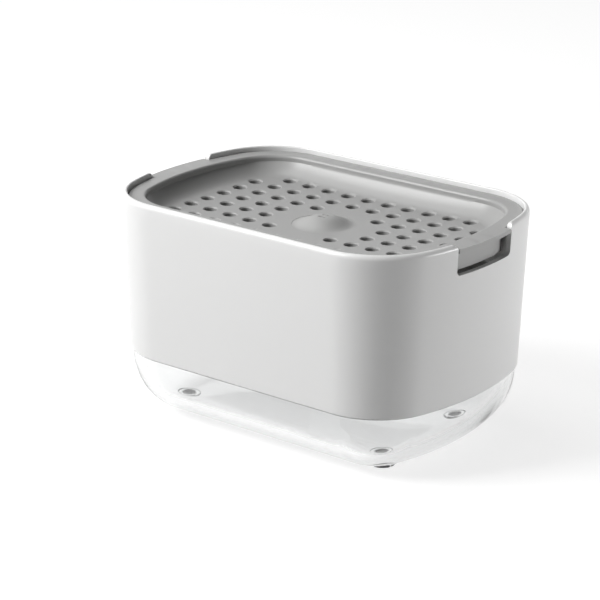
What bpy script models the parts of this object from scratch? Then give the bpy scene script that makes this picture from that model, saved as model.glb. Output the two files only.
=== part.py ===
"""Press-top soap dispenser with a sponge tray, piece by piece, at real size.

Metres, +Z up. The origin is on the surface that the dispenser stands on, under the middle of the pump,
with the long side along X. The shell, with the deck, the pump and the plate, lifts off the tank.
"""

import math

import bmesh
import bpy
from mathutils import Matrix

# Driving sizes of the whole dispenser
OVERALL_LENGTH = 0.145
OVERALL_WIDTH = 0.100
OVERALL_HEIGHT = 0.086
CORNER_RADIUS = 0.0280
END_BOW = 0.0123
SEAM_HEIGHT = 0.0258

# Room between pieces
SEAT_GAP = 0.0003
RUNNING_GAP = 0.0006
OVERRUN = 0.004

# Shell
SHELL_WALL = 0.0020
SHELL_TAPER = 0.0024
NOTCH_WIDTH = 0.0324
NOTCH_DEPTH = 0.0116
NOTCH_CORNER = 0.0018
NOTCH_RIM_CORNER = 0.0022
LEDGE_THICKNESS = 0.0017
LEDGE_REACH = 0.0039
BEAD_RADIUS = 0.0012
BEAD_LENGTH = 0.0140
BEAD_SPACING = 0.0340

# Press plate
RIM_DROP = 0.0019
DISH_DEPTH = 0.0086
PLATE_THICKNESS = 0.0020
FLANGE_WIDTH = 0.0050
FLANGE_ROUND = 0.0012
DISH_BOWL_WIDTH = 0.0074
DISH_BOWL_HEIGHT = 0.0063
DISH_BOWL_POWER = 2.2
HOLE_DIAMETER = 0.0048
HOLE_PITCH = 0.0094
TAB_LIP_THICKNESS = 0.0015
TAB_APRON_THICKNESS = 0.0016
TAB_APRON_HANG = 0.0008
TAB_PANEL_WIDTH = 0.0228
TAB_PANEL_STEP = 0.0009
TAB_PANEL_LIFT = 0.0004
TAB_PANEL_CORNER = 0.0030
TAB_ROOT = 0.0016
PRESS_END_GAP = 0.0007
RIB_THICKNESS = 0.0012
RIB_HEIGHT = 0.0030
LONG_RIB_PITCHES = 2
CROSS_RIB_PITCHES = 3

# Soap outlet in the plate
DOME_DIAMETER = 0.0234
DOME_RISE = 0.0031
DOME_BELL_POWER = 1.4
DOME_WALL = 0.0012
DOME_SEAT_DEPTH = 0.0008
DOME_SLIT_LENGTH = 0.0030
DOME_SLIT_WIDTH = 0.0008
DOME_SLIT_SPACING = 0.0024
DOME_CLEAR_RADIUS = 0.0180

# Stem, its socket in the plate and its guide
STEM_DIAMETER = 0.0070
STEM_BORE = 0.0044
STEM_LOWER_DIAMETER = 0.0060
SOCKET_WALL = 0.0017
SOCKET_DEPTH = 0.0047
SOCKET_WEB = 0.0012
OUTLET_BORE = 0.0036
GUIDE_LENGTH = 0.0088
GUIDE_FLANGE_THICKNESS = 0.0010
GUIDE_FLANGE_RIM = 0.0012
GUIDE_CLEARANCE = 0.0006
STEM_COLLAR_DIAMETER = 0.0086
STEM_COLLAR_HEIGHT = 0.0015
PORT_DIAMETER = 0.0016

# Piston and plug
PISTON_HEIGHT = 0.0050
PISTON_SLIP = 0.0012
PISTON_LIP_HEIGHT = 0.0012
PISTON_WAIST_DIAMETER = 0.0100
PLUG_FLANGE_DIAMETER = 0.0086
PLUG_FLANGE_THICKNESS = 0.0017
PLUG_PIN_DIAMETER = 0.0034
PLUG_PIN_LENGTH = 0.0042
PLUG_SPIGOT_DIAMETER = 0.0050
PLUG_SPIGOT_LENGTH = 0.0030

# Pump cylinder
BARREL_BORE = 0.0130
BARREL_WALL = 0.0015
BARREL_FLANGE_DIAMETER = 0.0240
BARREL_FLANGE_THICKNESS = 0.0018
BALL_DIAMETER = 0.0040
BALL_LIFT = 0.0012
BALL_CHAMBER_DIAMETER = 0.0056
THROAT_DIAMETER = 0.0032
THROAT_LENGTH = 0.0014
BALL_LIP_DIAMETER = 0.0036
BALL_LIP_HEIGHT = 0.0008
TAIL_LENGTH = 0.0060
TAIL_CLEARANCE = 0.0040

# Dip tube
DIP_TUBE_DIAMETER = 0.0048
DIP_TUBE_BORE = 0.0030
DIP_TUBE_CLEARANCE = 0.0008

# Return spring
SPRING_WIRE_RADIUS = 0.00045
SPRING_DIAMETER = 0.0088
SPRING_TURNS = 6.5

# Gasket under the cylinder's flange and the lock ring over it
CYLINDER_GASKET_THICKNESS = 0.0010
CYLINDER_GASKET_WIDTH = 0.0018
LOCK_RING_DIAMETER = 0.0360
LOCK_RING_WALL = 0.0024
LOCK_RING_TOP = 0.0018
LOCK_RING_HOLE_CLEARANCE = 0.0011
LOCK_RING_FOOT_GAP = 0.0006

# Deck
TURRET_DIAMETER = 0.0300
TURRET_HEIGHT = 0.0034
DECK_THICKNESS = 0.0020
DECK_BORDER_HEIGHT = 0.0040
DECK_BORDER_WIDTH = 0.0015
DECK_SKIRT_DEPTH = 0.0076
DECK_SKIRT_WALL = 0.0024
DECK_HOLE_CLEARANCE = 0.0004
GASKET_GROOVE_DEPTH = 0.0012
GASKET_GROOVE_HEIGHT = 0.0026
GASKET_GROOVE_LIFT = 0.0012

# Tank
TANK_INSET = 0.0032
TANK_NECK_GAP = 0.0004
TANK_NECK_WALL = 0.0020
TANK_FLOOR_HEIGHT = 0.0014
TANK_FLOOR_THICKNESS = 0.0030
TANK_ROUND_WIDTH = 0.0200
TANK_ROUND_DROP = 0.0006
TANK_INNER_ROUND_WIDTH = 0.0170
TANK_SMALLEST_CORNER = 0.0030

# Feet
FOOT_PAD_DIAMETER = 0.0056
FOOT_BOSS_DIAMETER = 0.0094
FOOT_BOSS_DROP = 0.0008
FOOT_RECESS_DEPTH = 0.0016
FOOT_INSET = 0.0268

# How finely round shapes are drawn
CORNER_STEPS = 6
END_STEPS = 3
ROUND_STEPS = 3
BOWL_STEPS = 5
TANK_ROUND_STEPS = 7
DOME_STEPS = 7
HOLE_SIDES = 10
FINE_SIDES = 28
PLAIN_SIDES = 20
SPRING_POINTS_PER_TURN = 10
SPRING_BEVEL_RESOLUTION = 1
BALL_SEGMENTS = 16
BALL_RINGS = 10
MERGE_DISTANCE = 0.00001
ROUND_PROFILE_SHARE = 0.5
SHARP_ANGLE = math.radians(32)

# Outline of the widest section, seen from above
HALF_LENGTH = OVERALL_LENGTH / 2
HALF_WIDTH = OVERALL_WIDTH / 2
END_RADIUS = (HALF_WIDTH**2 + END_BOW**2) / (2 * END_BOW)
END_CENTRE_X = HALF_LENGTH - END_RADIUS

# Heights that follow from the rim downwards
WIDEST_HEIGHT = OVERALL_HEIGHT - SHELL_WALL
FLANGE_TOP = OVERALL_HEIGHT - RIM_DROP
FLANGE_UNDERSIDE = FLANGE_TOP - PLATE_THICKNESS
TAB_UNDERSIDE = FLANGE_TOP - TAB_LIP_THICKNESS
DISH_FLOOR = FLANGE_TOP - DISH_DEPTH
PLATE_UNDERSIDE = DISH_FLOOR - PLATE_THICKNESS
NOTCH_BOTTOM = OVERALL_HEIGHT - NOTCH_DEPTH
PRESS_STROKE = TAB_UNDERSIDE - NOTCH_BOTTOM - PRESS_END_GAP
SOCKET_MOUTH = PLATE_UNDERSIDE - SOCKET_DEPTH
GUIDE_TOP = SOCKET_MOUTH - PRESS_STROKE - GUIDE_CLEARANCE
BARREL_TOP = GUIDE_TOP
BARREL_FLANGE_UNDERSIDE = BARREL_TOP - BARREL_FLANGE_THICKNESS
CYLINDER_GASKET_TOP = BARREL_FLANGE_UNDERSIDE - SEAT_GAP
TURRET_TOP = CYLINDER_GASKET_TOP - CYLINDER_GASKET_THICKNESS - SEAT_GAP
DECK_TOP = TURRET_TOP - TURRET_HEIGHT
DECK_UNDERSIDE = DECK_TOP - DECK_THICKNESS
LEDGE_TOP = DECK_UNDERSIDE - SEAT_GAP
LEDGE_UNDERSIDE = LEDGE_TOP - LEDGE_THICKNESS
TANK_MOUTH = LEDGE_UNDERSIDE - SEAT_GAP
GUIDE_BOTTOM = GUIDE_TOP - GUIDE_LENGTH
STEM_COLLAR_TOP = GUIDE_BOTTOM - SEAT_GAP
STEM_COLLAR_BOTTOM = STEM_COLLAR_TOP - STEM_COLLAR_HEIGHT
PISTON_TOP = STEM_COLLAR_BOTTOM - PISTON_SLIP - SEAT_GAP
PISTON_BOTTOM = PISTON_TOP - PISTON_HEIGHT
STEM_BOTTOM = PISTON_BOTTOM
STEM_TOP = DISH_FLOOR - DOME_SEAT_DEPTH - SOCKET_WEB - SEAT_GAP
PLUG_FLANGE_TOP = STEM_BOTTOM - SEAT_GAP
PLUG_FLANGE_BOTTOM = PLUG_FLANGE_TOP - PLUG_FLANGE_THICKNESS

# Heights that follow from the floor of the tank upwards
TANK_FLOOR_TOP = TANK_FLOOR_HEIGHT + TANK_FLOOR_THICKNESS
TAIL_BOTTOM = TANK_FLOOR_TOP + TAIL_CLEARANCE
TAIL_TOP = TAIL_BOTTOM + TAIL_LENGTH
THROAT_TOP = TAIL_TOP + THROAT_LENGTH
BALL_CONE_HEIGHT = (BALL_CHAMBER_DIAMETER - THROAT_DIAMETER) / 2
BALL_CENTRE = THROAT_TOP - THROAT_DIAMETER / 2 + (BALL_DIAMETER / 2 + SEAT_GAP) * math.sqrt(2)
BALL_CHAMBER_TOP = BALL_CENTRE + BALL_DIAMETER / 2 + BALL_LIFT + SEAT_GAP
BARREL_LEDGE = BALL_CHAMBER_TOP + BALL_LIP_HEIGHT
DIP_TUBE_BOTTOM = TANK_FLOOR_TOP + DIP_TUBE_CLEARANCE
DIP_TUBE_TOP = TAIL_TOP - SEAT_GAP

# Insets from the widest outline
NECK_OUTER_INSET = SHELL_TAPER + SHELL_WALL + TANK_NECK_GAP
NECK_INNER_INSET = NECK_OUTER_INSET + TANK_NECK_WALL
FLANGE_INSET = SHELL_WALL + RUNNING_GAP


def shell_inset(height):
    """How far the shell's outer face is drawn in at a height: it narrows evenly towards the seam."""
    return SHELL_TAPER * (WIDEST_HEIGHT - height) / (WIDEST_HEIGHT - SEAM_HEIGHT)


LEDGE_INNER_INSET = shell_inset(LEDGE_TOP) + SHELL_WALL + LEDGE_REACH
SKIRT_OUTER_INSET = LEDGE_INNER_INSET + SEAT_GAP
SKIRT_INNER_INSET = SKIRT_OUTER_INSET + DECK_SKIRT_WALL


def clear_scene():
    for obj in list(bpy.data.objects):
        bpy.data.objects.remove(obj)


def new_collection(name):
    collection = bpy.data.collections.new(name)
    bpy.context.scene.collection.children.link(collection)
    return collection


def new_material(name, colour, roughness, metallic=0.0, transmission=0.0):
    material = bpy.data.materials.new(name)
    material.use_nodes = True
    shader = material.node_tree.nodes["Principled BSDF"]
    shader.inputs["Base Color"].default_value = (*colour, 1.0)
    shader.inputs["Roughness"].default_value = roughness
    shader.inputs["Metallic"].default_value = metallic
    shader.inputs["Transmission Weight"].default_value = transmission
    return material


def outline(inset):
    """Points round the plan shape, drawn in by inset: straight sides, bowed ends and round corners."""
    half_width = HALF_WIDTH - inset
    end_radius = END_RADIUS - inset
    radius = max(CORNER_RADIUS - inset, TANK_SMALLEST_CORNER)
    corner_y = half_width - radius
    reach = end_radius - radius
    corner_x = END_CENTRE_X + math.sqrt(reach**2 - corner_y**2)
    tilt = math.asin(corner_y / reach)
    quarter = []
    for step in range(END_STEPS):
        angle = tilt * step / END_STEPS
        quarter.append((END_CENTRE_X + end_radius * math.cos(angle), end_radius * math.sin(angle)))
    for step in range(CORNER_STEPS + 1):
        angle = tilt + (math.pi / 2 - tilt) * step / CORNER_STEPS
        quarter.append((corner_x + radius * math.cos(angle), corner_y + radius * math.sin(angle)))
    half = quarter + [(-x, y) for x, y in reversed(quarter)]
    return half + [(x, -y) for x, y in reversed(half[1:-1])]


def edge_distance(x, y):
    """Distance from a point in plan to the widest outline."""
    corner_y = HALF_WIDTH - CORNER_RADIUS
    corner_x = END_CENTRE_X + math.sqrt((END_RADIUS - CORNER_RADIUS) ** 2 - corner_y**2)
    x = abs(x)
    y = abs(y)
    if x > corner_x and y > corner_y:
        return CORNER_RADIUS - math.hypot(x - corner_x, y - corner_y)
    return min(HALF_WIDTH - y, END_RADIUS - math.hypot(x - END_CENTRE_X, y))


def ellipse_quarter(inset, height, width, drop, steps):
    """Rounding of a section, from its upright end to its level end, as insets and heights."""
    points = []
    for step in range(steps + 1):
        angle = math.pi / 2 * step / steps
        points.append((inset + width * (1 - math.cos(angle)), height - drop * math.sin(angle)))
    return points


def add_object(name, mesh, collection, material=None):
    obj = bpy.data.objects.new(name, mesh)
    collection.objects.link(obj)
    if material:
        mesh.materials.append(material)
    return obj


def add_loft(name, section, collection, material=None, ring=False):
    """A solid that follows the plan outline.

    The section is a list of (inset, height). A ring's section closes on itself. Otherwise its two ends
    are closed by flat faces, the underside at its start and the floor or top at its end.
    """
    bm = bmesh.new()
    loops = []
    for inset, height in section:
        loops.append([bm.verts.new((x, y, height)) for x, y in outline(inset)])
    pairs = list(zip(loops, loops[1:]))
    if ring:
        pairs.append((loops[-1], loops[0]))
    else:
        bm.faces.new(loops[0])
        bm.faces.new(loops[-1])
    for lower, upper in pairs:
        for i in range(len(lower)):
            j = (i + 1) % len(lower)
            bm.faces.new((lower[i], lower[j], upper[j], upper[i]))
    bmesh.ops.recalc_face_normals(bm, faces=bm.faces)
    mesh = bpy.data.meshes.new(name)
    bm.to_mesh(mesh)
    bm.free()
    return add_object(name, mesh, collection, material)


def add_turned(name, profile, collection, material=None, sides=PLAIN_SIDES, closed=True):
    """A turned solid from its profile of (radius, height), which runs down the outer side first."""
    mesh = bpy.data.meshes.new(name)
    edges = [(i, i + 1) for i in range(len(profile) - 1)]
    if closed:
        edges.append((len(profile) - 1, 0))
    mesh.from_pydata([(radius, 0, height) for radius, height in profile], edges, [])
    obj = add_object(name, mesh, collection, material)
    screw = obj.modifiers.new("turned", "SCREW")
    screw.axis = "Z"
    screw.steps = sides
    screw.render_steps = sides
    screw.use_merge_vertices = True
    screw.merge_threshold = MERGE_DISTANCE
    settle(obj)
    return obj


def add_block(name, size, centre, collection, round_edges=0.0):
    """A box of a size about a centre. Its edges along X can be rounded."""
    bm = bmesh.new()
    bmesh.ops.create_cube(bm, size=1)
    bmesh.ops.transform(bm, matrix=Matrix.Diagonal((*size, 1)), verts=bm.verts)
    if round_edges:
        along = [e for e in bm.edges if abs(e.verts[0].co.x - e.verts[1].co.x) > size[0] / 2]
        bmesh.ops.bevel(
            bm,
            geom=along,
            offset=round_edges,
            segments=ROUND_STEPS,
            profile=ROUND_PROFILE_SHARE,
            affect="EDGES",
        )
    mesh = bpy.data.meshes.new(name)
    bm.to_mesh(mesh)
    bm.free()
    obj = add_object(name, mesh, collection)
    obj.location = centre
    return obj


def add_slab(name, points, thickness, collection):
    """A flat outline in the plane across the dispenser, as thick along its length as given."""
    curve = bpy.data.curves.new(name, "CURVE")
    curve.dimensions = "2D"
    curve.fill_mode = "BOTH"
    curve.extrude = thickness / 2
    spline = curve.splines.new("POLY")
    spline.points.add(len(points) - 1)
    for point, (y, z) in zip(spline.points, points):
        point.co = (y, z, 0, 1)
    spline.use_cyclic_u = True
    flat = bpy.data.objects.new(name + "_guide", curve)
    collection.objects.link(flat)
    graph = bpy.context.evaluated_depsgraph_get()
    mesh = bpy.data.meshes.new_from_object(flat.evaluated_get(graph))
    bpy.data.objects.remove(flat)
    bm = bmesh.new()
    bm.from_mesh(mesh)
    bmesh.ops.remove_doubles(bm, verts=bm.verts, dist=MERGE_DISTANCE)
    bm.to_mesh(mesh)
    bm.free()
    slab = add_object(name, mesh, collection)
    slab.rotation_euler = (math.pi / 2, 0, math.pi / 2)
    return slab


def arc(centre, radius, start, end):
    """Points of an arc in the plane across the dispenser, from one angle to another."""
    points = []
    for step in range(ROUND_STEPS + 1):
        angle = start + (end - start) * step / ROUND_STEPS
        points.append((centre[0] + radius * math.cos(angle), centre[1] + radius * math.sin(angle)))
    return points


def add_rods(name, diameter, bottom, top, places, sides, collection):
    """Upright rods of one diameter at places in plan, as one object."""
    bm = bmesh.new()
    for x, y in places:
        bmesh.ops.create_cone(
            bm,
            cap_ends=True,
            segments=sides,
            radius1=diameter / 2,
            radius2=diameter / 2,
            depth=top - bottom,
            matrix=Matrix.Translation((x, y, (top + bottom) / 2)),
        )
    mesh = bpy.data.meshes.new(name)
    bm.to_mesh(mesh)
    bm.free()
    return add_object(name, mesh, collection)


def combine(obj, tool, operation):
    """Cuts a piece by a tool, or joins the tool to it. The tool stays as a hidden guide."""
    tool.hide_render = True
    tool.display_type = "WIRE"
    boolean = obj.modifiers.new(tool.name, "BOOLEAN")
    boolean.operation = operation
    boolean.solver = "EXACT"
    boolean.object = tool


def settle(obj):
    """Turns an object's modifiers into its mesh, shaded smooth with its real edges sharp."""
    graph = bpy.context.evaluated_depsgraph_get()
    mesh = bpy.data.meshes.new_from_object(obj.evaluated_get(graph))
    obj.modifiers.clear()
    obj.data = mesh
    mesh.name = obj.name
    mesh.shade_smooth()
    mesh.set_sharp_from_angle(angle=SHARP_ANGLE)


def add_datum(name, height, collection):
    """An empty on the pump's axis that carries the pieces that move together."""
    empty = bpy.data.objects.new(name, None)
    empty.location = (0, 0, height)
    collection.objects.link(empty)
    return empty


def carry(empty, pieces):
    for piece in pieces:
        piece.parent = empty
        piece.matrix_parent_inverse = Matrix.Translation(empty.location).inverted()


def make_tank(parts, cutters, material):
    """Clear base: a rounded tray with a shoulder for the shell and a straight neck up to the deck."""
    shoulder = SEAM_HEIGHT - SEAT_GAP
    round_top = shoulder - TANK_ROUND_DROP
    outer = ellipse_quarter(
        TANK_INSET, round_top, TANK_ROUND_WIDTH, round_top - TANK_FLOOR_HEIGHT, TANK_ROUND_STEPS
    )
    inner = ellipse_quarter(
        NECK_INNER_INSET, round_top, TANK_INNER_ROUND_WIDTH, round_top - TANK_FLOOR_TOP, TANK_ROUND_STEPS
    )
    section = outer[::-1]
    section += [(TANK_INSET, shoulder), (NECK_OUTER_INSET, shoulder)]
    section += [(NECK_OUTER_INSET, TANK_MOUTH), (NECK_INNER_INSET, TANK_MOUTH)]
    section += inner
    tank = add_loft("tank", section, parts, material)
    boss_bottom = TANK_FLOOR_HEIGHT - FOOT_BOSS_DROP
    boss_top = TANK_FLOOR_HEIGHT + TANK_FLOOR_THICKNESS / 2
    bosses = add_rods(
        "foot_bosses", FOOT_BOSS_DIAMETER, boss_bottom, boss_top, foot_places(), PLAIN_SIDES, cutters
    )
    combine(tank, bosses, "UNION")
    recesses = add_rods(
        "foot_recesses",
        FOOT_PAD_DIAMETER + 2 * SEAT_GAP,
        boss_bottom - OVERRUN,
        boss_bottom + FOOT_RECESS_DEPTH,
        foot_places(),
        PLAIN_SIDES,
        cutters,
    )
    combine(tank, recesses, "DIFFERENCE")
    settle(tank)
    return tank


def foot_places():
    x = HALF_LENGTH - FOOT_INSET
    y = HALF_WIDTH - FOOT_INSET
    return [(-x, -y), (x, -y), (x, y), (-x, y)]


def make_foot_pads(parts, material):
    """Four dark rubber pads, each pressed into its boss."""
    height = TANK_FLOOR_HEIGHT - FOOT_BOSS_DROP + FOOT_RECESS_DEPTH - SEAT_GAP
    radius = FOOT_PAD_DIAMETER / 2
    pads = []
    for number, (x, y) in enumerate(foot_places(), start=1):
        profile = [(0, height), (radius, height), (radius, 0), (0, 0)]
        pad = add_turned("foot_pad_%d" % number, profile, parts, material, closed=False)
        pad.location = (x, y, 0)
        pads.append(pad)
    return pads


def make_shell(parts, cutters, material):
    """White casing: a tapered wall, open at both ends, with a ledge and beads that hold the deck."""
    section = [(SHELL_TAPER, SEAM_HEIGHT)]
    section += ellipse_quarter(0, WIDEST_HEIGHT, SHELL_WALL, -SHELL_WALL, ROUND_STEPS)
    section += [
        (shell_inset(LEDGE_TOP) + SHELL_WALL, LEDGE_TOP),
        (LEDGE_INNER_INSET, LEDGE_TOP),
        (LEDGE_INNER_INSET, LEDGE_UNDERSIDE),
        (shell_inset(LEDGE_UNDERSIDE) + SHELL_WALL, LEDGE_UNDERSIDE),
        (SHELL_TAPER + SHELL_WALL, SEAM_HEIGHT),
    ]
    shell = add_loft("outer_shell", section, parts, material, ring=True)
    rim_corner = (NOTCH_WIDTH / 2 + NOTCH_RIM_CORNER, OVERALL_HEIGHT - NOTCH_RIM_CORNER)
    low_corner = (NOTCH_WIDTH / 2 - NOTCH_CORNER, NOTCH_BOTTOM + NOTCH_CORNER)
    half = [(rim_corner[0], OVERALL_HEIGHT + OVERRUN)]
    half += arc(rim_corner, NOTCH_RIM_CORNER, math.pi / 2, math.pi)
    half += arc(low_corner, NOTCH_CORNER, 0, -math.pi / 2)
    points = half + [(-y, z) for y, z in reversed(half)]
    combine(shell, add_slab("notch_cutter", points, OVERALL_LENGTH + OVERRUN, cutters), "DIFFERENCE")
    bead_height = DECK_TOP + DECK_BORDER_HEIGHT + SEAT_GAP + BEAD_RADIUS
    bead_y = HALF_WIDTH - shell_inset(bead_height) - SHELL_WALL
    profile = [(0, BEAD_LENGTH / 2), (BEAD_RADIUS, BEAD_LENGTH / 2)]
    profile += [(BEAD_RADIUS, -BEAD_LENGTH / 2), (0, -BEAD_LENGTH / 2)]
    for side in (-1, 1):
        for place in (-1, 0, 1):
            name = "bead_%d_%d" % (side, place)
            bead = add_turned(name, profile, cutters, closed=False, sides=HOLE_SIDES)
            bead.rotation_euler = (0, math.pi / 2, 0)
            bead.location = (place * BEAD_SPACING, side * bead_y, bead_height)
            combine(shell, bead, "UNION")
    settle(shell)
    return shell


def make_deck(parts, cutters, material):
    """Inner deck: a tray that closes the tank, with a skirt for the gasket and a turret for the pump."""
    skirt_bottom = DECK_UNDERSIDE - DECK_SKIRT_DEPTH
    groove_bottom = skirt_bottom + GASKET_GROOVE_LIFT
    groove_top = groove_bottom + GASKET_GROOVE_HEIGHT
    groove_inset = SKIRT_OUTER_INSET + GASKET_GROOVE_DEPTH
    edge_inset = shell_inset(DECK_UNDERSIDE) + SHELL_WALL + SEAT_GAP
    border_top = DECK_TOP + DECK_BORDER_HEIGHT
    section = [
        (SKIRT_INNER_INSET, DECK_UNDERSIDE),
        (SKIRT_INNER_INSET, skirt_bottom),
        (SKIRT_OUTER_INSET, skirt_bottom),
        (SKIRT_OUTER_INSET, groove_bottom),
        (groove_inset, groove_bottom),
        (groove_inset, groove_top),
        (SKIRT_OUTER_INSET, groove_top),
        (SKIRT_OUTER_INSET, DECK_UNDERSIDE),
        (edge_inset, DECK_UNDERSIDE),
        (edge_inset, border_top),
        (edge_inset + DECK_BORDER_WIDTH, border_top),
        (edge_inset + DECK_BORDER_WIDTH, DECK_TOP),
    ]
    deck = add_loft("drip_deck", section, parts, material)
    turret_foot = DECK_TOP - DECK_THICKNESS / 2
    turret = add_rods("turret", TURRET_DIAMETER, turret_foot, TURRET_TOP, [(0, 0)], FINE_SIDES, cutters)
    combine(deck, turret, "UNION")
    hole_diameter = BARREL_BORE + 2 * (BARREL_WALL + DECK_HOLE_CLEARANCE)
    hole = add_rods(
        "deck_hole",
        hole_diameter,
        DECK_UNDERSIDE - OVERRUN,
        TURRET_TOP + OVERRUN,
        [(0, 0)],
        FINE_SIDES,
        cutters,
    )
    combine(deck, hole, "DIFFERENCE")
    settle(deck)
    return deck


def make_tank_gasket(parts, material):
    """Soft ring in the skirt's groove, just clear of the tank's wall."""
    bottom = DECK_UNDERSIDE - DECK_SKIRT_DEPTH + GASKET_GROOVE_LIFT + SEAT_GAP
    top = bottom + GASKET_GROOVE_HEIGHT - 2 * SEAT_GAP
    outer = NECK_INNER_INSET + SEAT_GAP
    inner = SKIRT_OUTER_INSET + GASKET_GROOVE_DEPTH - SEAT_GAP
    section = [(outer, bottom), (outer, top), (inner, top), (inner, bottom)]
    return add_loft("tank_gasket", section, parts, material, ring=True)


def make_barrel(parts, material):
    """Pump cylinder: flange, straight bore, ledge for the spring, ball chamber and tail socket."""
    bore = BARREL_BORE / 2
    outside = bore + BARREL_WALL
    tail_bore = DIP_TUBE_DIAMETER / 2 + SEAT_GAP
    tail_outside = tail_bore + BARREL_WALL
    chamber = BALL_CHAMBER_DIAMETER / 2
    throat = THROAT_DIAMETER / 2
    counterbore = bore + GUIDE_FLANGE_RIM + SEAT_GAP
    counterbore_floor = BARREL_TOP - GUIDE_FLANGE_THICKNESS - SEAT_GAP
    profile = [
        (BARREL_FLANGE_DIAMETER / 2, BARREL_TOP),
        (BARREL_FLANGE_DIAMETER / 2, BARREL_FLANGE_UNDERSIDE),
        (outside, BARREL_FLANGE_UNDERSIDE),
        (outside, BARREL_LEDGE - BALL_LIP_HEIGHT),
        (chamber + BARREL_WALL, THROAT_TOP),
        (tail_outside, TAIL_TOP),
        (tail_outside, TAIL_BOTTOM),
        (tail_bore, TAIL_BOTTOM),
        (tail_bore, TAIL_TOP),
        (throat, TAIL_TOP),
        (throat, THROAT_TOP),
        (chamber, THROAT_TOP + BALL_CONE_HEIGHT),
        (chamber, BALL_CHAMBER_TOP),
        (BALL_LIP_DIAMETER / 2, BALL_CHAMBER_TOP),
        (BALL_LIP_DIAMETER / 2, BARREL_LEDGE),
        (bore, BARREL_LEDGE),
        (bore, counterbore_floor),
        (counterbore, counterbore_floor),
        (counterbore, BARREL_TOP),
    ]
    return add_turned("pump_cylinder", profile, parts, material, sides=FINE_SIDES)


def make_cylinder_gasket(parts, material):
    """Flat ring that seals the cylinder's flange on the turret."""
    outer = BARREL_FLANGE_DIAMETER / 2
    inner = outer - CYLINDER_GASKET_WIDTH
    bottom = CYLINDER_GASKET_TOP - CYLINDER_GASKET_THICKNESS
    profile = [(outer, CYLINDER_GASKET_TOP), (outer, bottom)]
    profile += [(inner, bottom), (inner, CYLINDER_GASKET_TOP)]
    return add_turned("cylinder_gasket", profile, parts, material)


def make_lock_ring(parts, material):
    """Screw ring round the turret. Its top wall clamps the cylinder and the guide."""
    outer = LOCK_RING_DIAMETER / 2
    inner = outer - LOCK_RING_WALL
    hole = STEM_DIAMETER / 2 + SEAT_GAP + SOCKET_WALL + LOCK_RING_HOLE_CLEARANCE
    under_top = BARREL_TOP + SEAT_GAP
    top = under_top + LOCK_RING_TOP
    foot = DECK_TOP + LOCK_RING_FOOT_GAP
    profile = [(outer, top), (outer, foot), (inner, foot)]
    profile += [(inner, under_top), (hole, under_top), (hole, top)]
    return add_turned("lock_ring", profile, parts, material, sides=FINE_SIDES)


def make_stem_guide(parts, material):
    """Sleeve in the cylinder's mouth. The stem runs in it, and its lower end stops the stem's collar."""
    outer = BARREL_BORE / 2 - SEAT_GAP
    flange = outer + GUIDE_FLANGE_RIM
    flange_underside = GUIDE_TOP - GUIDE_FLANGE_THICKNESS
    inner = STEM_DIAMETER / 2 + SEAT_GAP
    profile = [
        (flange, GUIDE_TOP),
        (flange, flange_underside),
        (outer, flange_underside),
        (outer, GUIDE_BOTTOM),
        (inner, GUIDE_BOTTOM),
        (inner, GUIDE_TOP),
    ]
    return add_turned("stem_guide", profile, parts, material)


def make_stem(parts, cutters, material):
    """Hollow stem with a collar, and ports near its lower end that the piston covers."""
    bore = STEM_BORE / 2
    outer = STEM_DIAMETER / 2
    lower = STEM_LOWER_DIAMETER / 2
    collar = STEM_COLLAR_DIAMETER / 2
    profile = [
        (outer, STEM_TOP),
        (outer, STEM_COLLAR_TOP),
        (collar, STEM_COLLAR_TOP),
        (collar, STEM_COLLAR_BOTTOM),
        (lower, STEM_COLLAR_BOTTOM),
        (lower, STEM_BOTTOM),
        (bore, STEM_BOTTOM),
        (bore, STEM_TOP),
    ]
    stem = add_turned("plunger_stem", profile, parts, material)
    reach = STEM_DIAMETER
    port = add_rods("stem_port", PORT_DIAMETER, -reach, reach, [(0, 0)], HOLE_SIDES, cutters)
    port.rotation_euler = (0, math.pi / 2, 0)
    port.location = (0, 0, STEM_BOTTOM + PORT_DIAMETER)
    combine(stem, port, "DIFFERENCE")
    settle(stem)
    return stem


def make_stem_plug(parts, material):
    """Plug under the stem: a pin in the bore, a flange below the piston and a spigot in the spring."""
    flange = PLUG_FLANGE_DIAMETER / 2
    pin = PLUG_PIN_DIAMETER / 2
    spigot = PLUG_SPIGOT_DIAMETER / 2
    pin_top = PLUG_FLANGE_TOP + PLUG_PIN_LENGTH
    spigot_bottom = PLUG_FLANGE_BOTTOM - PLUG_SPIGOT_LENGTH
    profile = [
        (0, pin_top),
        (pin, pin_top),
        (pin, PLUG_FLANGE_TOP),
        (flange, PLUG_FLANGE_TOP),
        (flange, PLUG_FLANGE_BOTTOM),
        (spigot, PLUG_FLANGE_BOTTOM),
        (spigot, spigot_bottom),
        (0, spigot_bottom),
    ]
    return add_turned("stem_plug", profile, parts, material, closed=False)


def make_piston(parts, material):
    """Sealing sleeve with a lip at each end, free to slide a little on the stem."""
    outer = BARREL_BORE / 2 - SEAT_GAP
    waist = PISTON_WAIST_DIAMETER / 2
    inner = STEM_LOWER_DIAMETER / 2 + SEAT_GAP
    profile = [
        (outer, PISTON_TOP),
        (outer, PISTON_TOP - PISTON_LIP_HEIGHT),
        (waist, PISTON_TOP - PISTON_LIP_HEIGHT),
        (waist, PISTON_BOTTOM + PISTON_LIP_HEIGHT),
        (outer, PISTON_BOTTOM + PISTON_LIP_HEIGHT),
        (outer, PISTON_BOTTOM),
        (inner, PISTON_BOTTOM),
        (inner, PISTON_TOP),
    ]
    return add_turned("piston", profile, parts, material)


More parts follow.
